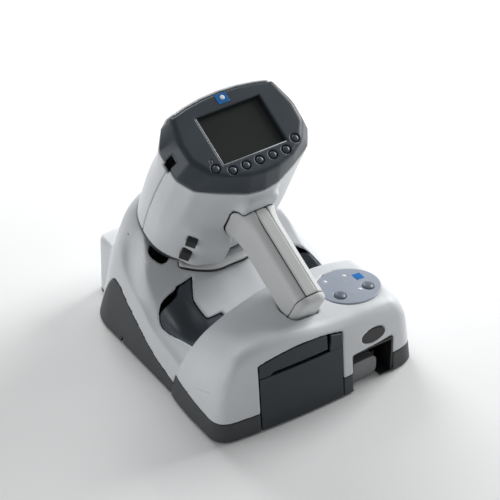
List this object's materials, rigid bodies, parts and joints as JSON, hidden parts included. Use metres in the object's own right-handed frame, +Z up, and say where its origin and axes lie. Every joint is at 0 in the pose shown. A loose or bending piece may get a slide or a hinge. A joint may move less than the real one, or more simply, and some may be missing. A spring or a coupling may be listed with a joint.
{
  "type": "handheld autorefractor with printer station",
  "caption": "Hand-held eye refraction meter with tilted display and trigger grip, docked nose-down in a charging station with a receipt printer and spare battery bay.",
  "frame": {"origin": "on the table under the middle of the object", "axes": "+Z up, front of the station with the printer door towards -Y, +X to the right seen from the front"},
  "size_m": [0.232, 0.2766, 0.2629],
  "materials": {
    "shell_white": "fine satin texture",
    "tray_grey": "fine satin texture",
    "front_dark": "satin, fine grain",
    "well_dark": "satin",
    "panel_grey": "satin",
    "strip_light": "satin",
    "button_grey": "satin",
    "lamp_clear": "clear, frosted",
    "smoked_window": "smoked, glossy",
    "black_plastic": "fine texture",
    "soft_rubber": "matte",
    "steel": "turned",
    "module_metal": "plain",
    "gear_plastic": "satin",
    "board_green": "solder mask",
    "contact_gold": "plated",
    "lens_glass": "coated",
    "paper_white": "thermal paper"
  },
  "bodies": {
    "station": {"base_tray": "tray_grey", "top_shell": "shell_white", "rubber_feet": "soft_rubber", "base_screws": "steel", "finger_wells": "well_dark", "rest_pad": "soft_rubber", "cradle_port": "well_dark", "dock_contacts": "contact_gold", "control_panel": "panel_grey", "panel_lamps": "lamp_clear", "ir_window": "smoked_window", "door_hinge_pins": "steel", "printer_strip": "front_dark", "printer_chassis": "gear_plastic", "thermal_head": "module_metal", "feed_motor": "black_plastic", "battery_bay": "black_plastic", "station_board": "board_green", "power_supply": "module_metal", "power_inlet": "black_plastic"},
    "handset": {"head_top_shell": "shell_white", "head_bottom_shell": "shell_white", "bezel": "front_dark", "display_glass": "smoked_window", "lcd_module": "module_metal", "status_lamp": "lamp_clear", "main_board": "board_green", "nose_ring": "front_dark", "nose_window": "smoked_window", "forehead_rest": "soft_rubber", "port_sockets": "black_plastic", "optics_tube": "module_metal", "objective_lens": "lens_glass", "prism_motor": "black_plastic", "grip_shell": "shell_white", "grip_strip": "strip_light", "grip_cap": "tray_grey", "grip_battery": "black_plastic"},
    "printer_door": {"printer_door": "front_dark"},
    "door_catch": {"door_catch": "front_dark"},
    "platen": {"platen_roller": "soft_rubber", "platen_shaft": "steel"},
    "idler_gear": {"idler_gear": "gear_plastic"},
    "motor_pinion": {"motor_pinion": "gear_plastic"},
    "paper": {"paper_roll": "paper_white", "paper_core": "black_plastic"},
    "power_button": {"power_button": "button_grey"},
    "feed_button": {"feed_button": "button_grey"},
    "spare_battery": {"spare_battery": "black_plastic"},
    "fog_target": {"fog_target": "module_metal"},
    "prism_wheel": {"prism_wheel": "gear_plastic"},
    "prism_pinion": {"prism_pinion": "gear_plastic"},
    "trigger": {"trigger": "black_plastic"},
    "key_1": {"key_1": "button_grey"},
    "key_2": {"key_2": "button_grey"},
    "key_3": {"key_3": "button_grey"},
    "key_4": {"key_4": "button_grey"},
    "key_5": {"key_5": "button_grey"},
    "key_6": {"key_6": "button_grey"},
    "key_7": {"key_7": "button_grey"}
  },
  "joints": [
    {"name": "handset_lift", "type": "slide", "parent": "station", "child": "handset", "axis": [0, -0.4617, 0.887], "range_m": [0, 0.16]},
    {"name": "door_hinge", "type": "hinge", "parent": "station", "child": "printer_door", "pos_m": [-0.022, -0.1315, 0.008], "axis": [1, 0, 0], "range_deg": [0, 62]},
    {"name": "door_catch_press", "type": "slide", "parent": "printer_door", "child": "door_catch", "axis": [0, 1, 0], "range_m": [0, 0.0005], "stiffness_N_per_m": 400},
    {"name": "platen_spin", "type": "hinge", "parent": "printer_door", "child": "platen", "pos_m": [-0.027, -0.122, 0.0555], "axis": [1, 0, 0], "continuous": true},
    {"name": "idler_spin", "type": "hinge", "parent": "station", "child": "idler_gear", "pos_m": [0.011, -0.10951, 0.04675], "axis": [1, 0, 0], "continuous": true},
    {"name": "motor_spin", "type": "hinge", "parent": "station", "child": "motor_pinion", "pos_m": [0.011, -0.09824, 0.03887], "axis": [1, 0, 0], "continuous": true},
    {"name": "paper_spin", "type": "hinge", "parent": "station", "child": "paper", "pos_m": [-0.025, -0.084, 0.0318], "axis": [1, 0, 0], "continuous": true},
    {"name": "power_press", "type": "slide", "parent": "station", "child": "power_button", "axis": [-0.1045, 0, -0.9945], "range_m": [0, 0.0015], "stiffness_N_per_m": 300},
    {"name": "feed_press", "type": "slide", "parent": "station", "child": "feed_button", "axis": [-0.1045, 0, -0.9945], "range_m": [0, 0.0015], "stiffness_N_per_m": 300},
    {"name": "battery_pull", "type": "slide", "parent": "station", "child": "spare_battery", "axis": [0, -1, 0], "range_m": [0, 0.08]},
    {"name": "fog_slide", "type": "slide", "parent": "handset", "child": "fog_target", "axis": [0, -0.4617, 0.887], "range_m": [-0.008, 0.008]},
    {"name": "prism_spin", "type": "hinge", "parent": "handset", "child": "prism_wheel", "pos_m": [0, 0.03354, 0.17254], "axis": [0, -0.4617, 0.887], "continuous": true},
    {"name": "prism_pinion_spin", "type": "hinge", "parent": "handset", "child": "prism_pinion", "pos_m": [0.0273, 0.03354, 0.17254], "axis": [0, -0.4617, 0.887], "continuous": true},
    {"name": "trigger_press", "type": "slide", "parent": "handset", "child": "trigger", "axis": [0, -0.4617, 0.887], "range_m": [0, 0.003], "stiffness_N_per_m": 250},
    {"name": "key_1_press", "type": "slide", "parent": "handset", "child": "key_1", "axis": [0, 0.4617, -0.887], "range_m": [0, 0.0008], "stiffness_N_per_m": 200},
    {"name": "key_2_press", "type": "slide", "parent": "handset", "child": "key_2", "axis": [0, 0.4617, -0.887], "range_m": [0, 0.0008], "stiffness_N_per_m": 200},
    {"name": "key_3_press", "type": "slide", "parent": "handset", "child": "key_3", "axis": [0, 0.4617, -0.887], "range_m": [0, 0.0008], "stiffness_N_per_m": 200},
    {"name": "key_4_press", "type": "slide", "parent": "handset", "child": "key_4", "axis": [0, 0.4617, -0.887], "range_m": [0, 0.0008], "stiffness_N_per_m": 200},
    {"name": "key_5_press", "type": "slide", "parent": "handset", "child": "key_5", "axis": [0, 0.4617, -0.887], "range_m": [0, 0.0008], "stiffness_N_per_m": 200},
    {"name": "key_6_press", "type": "slide", "parent": "handset", "child": "key_6", "axis": [0, 0.4617, -0.887], "range_m": [0, 0.0008], "stiffness_N_per_m": 200},
    {"name": "key_7_press", "type": "slide", "parent": "handset", "child": "key_7", "axis": [0, 0.4617, -0.887], "range_m": [0, 0.0008], "stiffness_N_per_m": 200}
  ],
  "couplings": [
    {"joint": "idler_spin", "follows": "platen_spin", "ratio": -0.66667},
    {"joint": "motor_spin", "follows": "platen_spin", "ratio": 1.3333},
    {"joint": "paper_spin", "follows": "platen_spin", "ratio": 0.20833},
    {"joint": "prism_pinion_spin", "follows": "prism_spin", "ratio": -4}
  ]
}
